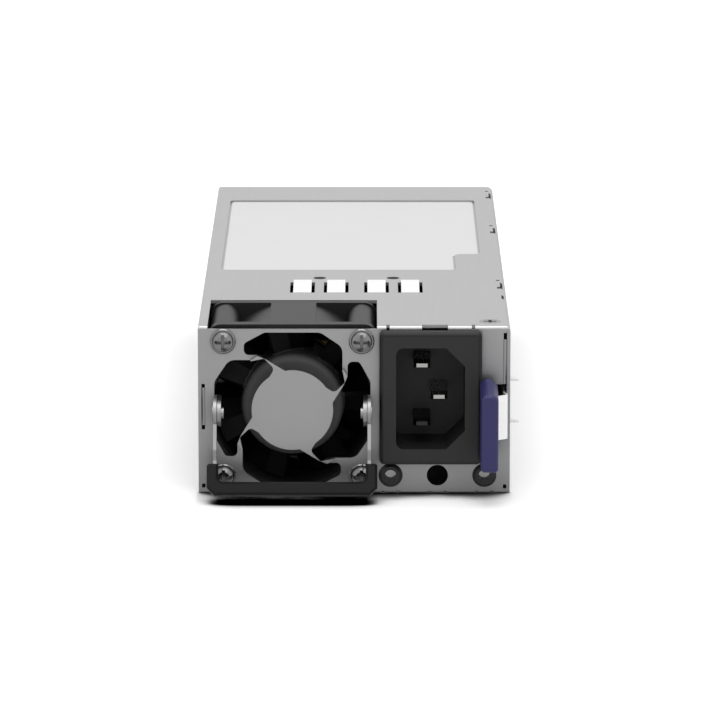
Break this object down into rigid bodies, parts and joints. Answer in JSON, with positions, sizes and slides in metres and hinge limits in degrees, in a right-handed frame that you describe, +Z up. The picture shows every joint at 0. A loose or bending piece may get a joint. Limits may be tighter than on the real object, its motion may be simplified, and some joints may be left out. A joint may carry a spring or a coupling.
{
  "type": "hot swap server power supply",
  "caption": "Slim sheet steel power module with a fan behind a pressed guard, bail handle, mains inlet, status lamps, sprung latch and rear card edge.",
  "frame": {"origin": "centre of the case's bottom face", "axes": "+X to the right seen from the front, +Y from the front panel to the rear card edge, +Z up"},
  "size_m": [0.0758, 0.2105, 0.0408],
  "materials": {
    "case_steel": "bright zinc plated sheet steel, satin",
    "screw_steel": "nickel plated screws and rivets",
    "spring_steel": "bright stainless spring strip",
    "black_moulding": "black moulded plastic, fine satin",
    "fan_moulding": "black glass filled plastic",
    "grip_moulding": "black overmoulded grip",
    "violet_moulding": "dark blue violet moulded thumb tab",
    "pin_metal": "nickel plated brass blades",
    "lens": "clear status lamp lens",
    "label_film": "blank white polyester label",
    "board_laminate": "green solder mask on glass laminate",
    "gold_contact": "hard gold plated contacts",
    "liner_film": "clear insulating film",
    "bearing_bronze": "sintered bronze",
    "magnet_ferrite": "bonded ferrite magnet",
    "lamination": "stacked laminations",
    "copper_wire": "enamelled copper winding",
    "ferrite": "pressed ferrite",
    "capacitor_sleeve": "black sleeve on aluminium can",
    "film_box": "yellow moulded box",
    "fuse_body": "ceramic fuse tube",
    "heat_sink_metal": "extruded aluminium",
    "device_epoxy": "moulded epoxy"
  },
  "bodies": {
    "case": {"base_tray": "case_steel", "top_cover": "case_steel", "front_panel": "case_steel", "rear_panel": "case_steel", "rating_label": "label_film", "lid_screw": "screw_steel", "side_screws": "screw_steel", "fan_screws": "screw_steel", "fan_frame": "fan_moulding", "stator_core": "lamination", "stator_coils": "copper_wire", "fan_bearings": "bearing_bronze", "handle_ears": "case_steel", "handle_rivets": "screw_steel", "inlet_housing": "black_moulding", "line_pin": "pin_metal", "neutral_pin": "pin_metal", "earth_pin": "pin_metal", "lamp_bezels": "black_moulding", "lamp_lenses": "lens", "latch_rivets": "screw_steel", "main_board": "board_laminate", "edge_contacts": "gold_contact", "insulating_sheet": "liner_film", "standoffs": "screw_steel", "board_screws": "screw_steel", "bulk_capacitors": "capacitor_sleeve", "pfc_choke": "copper_wire", "pfc_choke_base": "black_moulding", "emi_choke": "copper_wire", "emi_choke_base": "black_moulding", "film_capacitors": "film_box", "fuse_tube": "fuse_body", "fuse_caps": "screw_steel", "primary_heat_sink": "heat_sink_metal", "output_heat_sink": "heat_sink_metal", "power_transistors": "device_epoxy", "bridge_rectifier": "device_epoxy", "transformer_core": "ferrite", "transformer_winding": "copper_wire", "standby_transformer": "ferrite", "output_capacitors": "capacitor_sleeve", "control_board": "board_laminate"},
    "fan": {"fan_rotor": "fan_moulding", "fan_magnet": "magnet_ferrite", "fan_shaft": "screw_steel"},
    "handle": {"handle_strap": "case_steel", "handle_grip": "grip_moulding"},
    "latch": {"latch_spring": "spring_steel", "latch_tab": "violet_moulding"}
  },
  "joints": [
    {"name": "fan_spin", "type": "hinge", "parent": "case", "child": "fan", "pos_m": [-0.01455, -0.0765, 0.02], "axis": [0, 1, 0], "continuous": true},
    {"name": "handle_swing", "type": "hinge", "parent": "case", "child": "handle", "pos_m": [-0.01455, -0.0968, 0.02], "axis": [-1, 0, 0], "range_deg": [-15, 138]},
    {"name": "latch_flex", "type": "hinge", "parent": "case", "child": "latch", "pos_m": [0.03535, -0.0325, 0.0187], "axis": [0, 0, -1], "range_deg": [0, 3.2], "stiffness_Nm_per_rad": 1.5, "springref_deg": -0.57}
  ]
}
